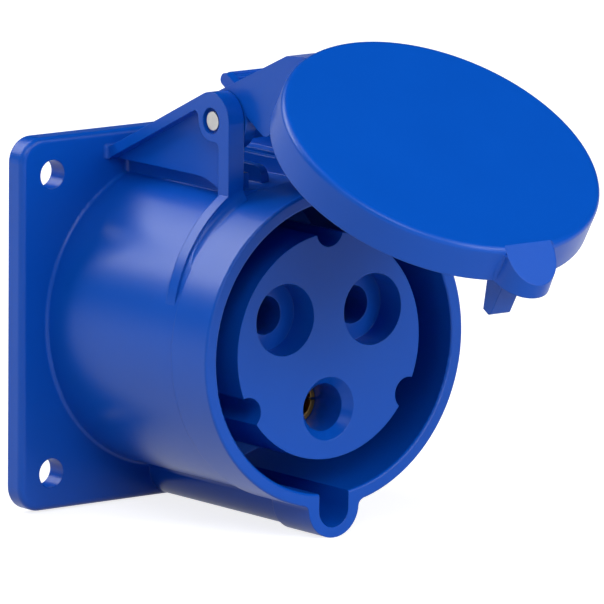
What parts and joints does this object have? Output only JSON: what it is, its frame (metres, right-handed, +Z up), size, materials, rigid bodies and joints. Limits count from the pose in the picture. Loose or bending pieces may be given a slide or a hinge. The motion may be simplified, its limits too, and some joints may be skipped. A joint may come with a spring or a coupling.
{
  "type": "industrial panel socket",
  "caption": "Panel-mount round power socket with a square screw flange, keyed plug collar, countersunk and counterbored pin entries, and a sprung round lid hinged between two cheeks.",
  "frame": {"origin": "centre of the square flange's panel face, where the socket's axis meets it", "axes": "-Y along the socket's axis, out of the panel towards the plug; +Z up, towards the lid's hinge; +X to the right when the socket's mouth is faced"},
  "size_m": [0.06, 0.1084, 0.0791],
  "materials": {
    "blue_plastic": "satin gloss moulded",
    "grey_plastic": "matt moulded",
    "black_rubber": "matt",
    "plated_steel": "plated",
    "spring_steel": "drawn wire and strip",
    "contact_brass": "turned"
  },
  "bodies": {
    "socket": {"housing": "blue_plastic", "flange_seal": "black_rubber", "hinge_pin": "plated_steel", "lid_spring": "spring_steel", "contact_insert": "blue_plastic", "insert_base": "grey_plastic", "insert_screws": "plated_steel", "carrier_screw": "plated_steel", "line_contact": "contact_brass", "neutral_contact": "contact_brass", "earth_contact": "contact_brass", "line_spring_ring": "spring_steel", "neutral_spring_ring": "spring_steel", "earth_spring_ring": "spring_steel", "line_clamp": "plated_steel", "neutral_clamp": "plated_steel", "earth_clamp": "plated_steel", "terminal_screws": "plated_steel"},
    "lid_body": {"lid": "blue_plastic", "lid_seal": "black_rubber"}
  },
  "joints": [
    {"name": "lid_hinge", "type": "hinge", "parent": "socket", "child": "lid_body", "pos_m": [0, -0.0306, 0.0351], "axis": [-1, 0, 0], "range_deg": [-59.2, 60.8], "deforming": ["lid_spring"]}
  ]
}
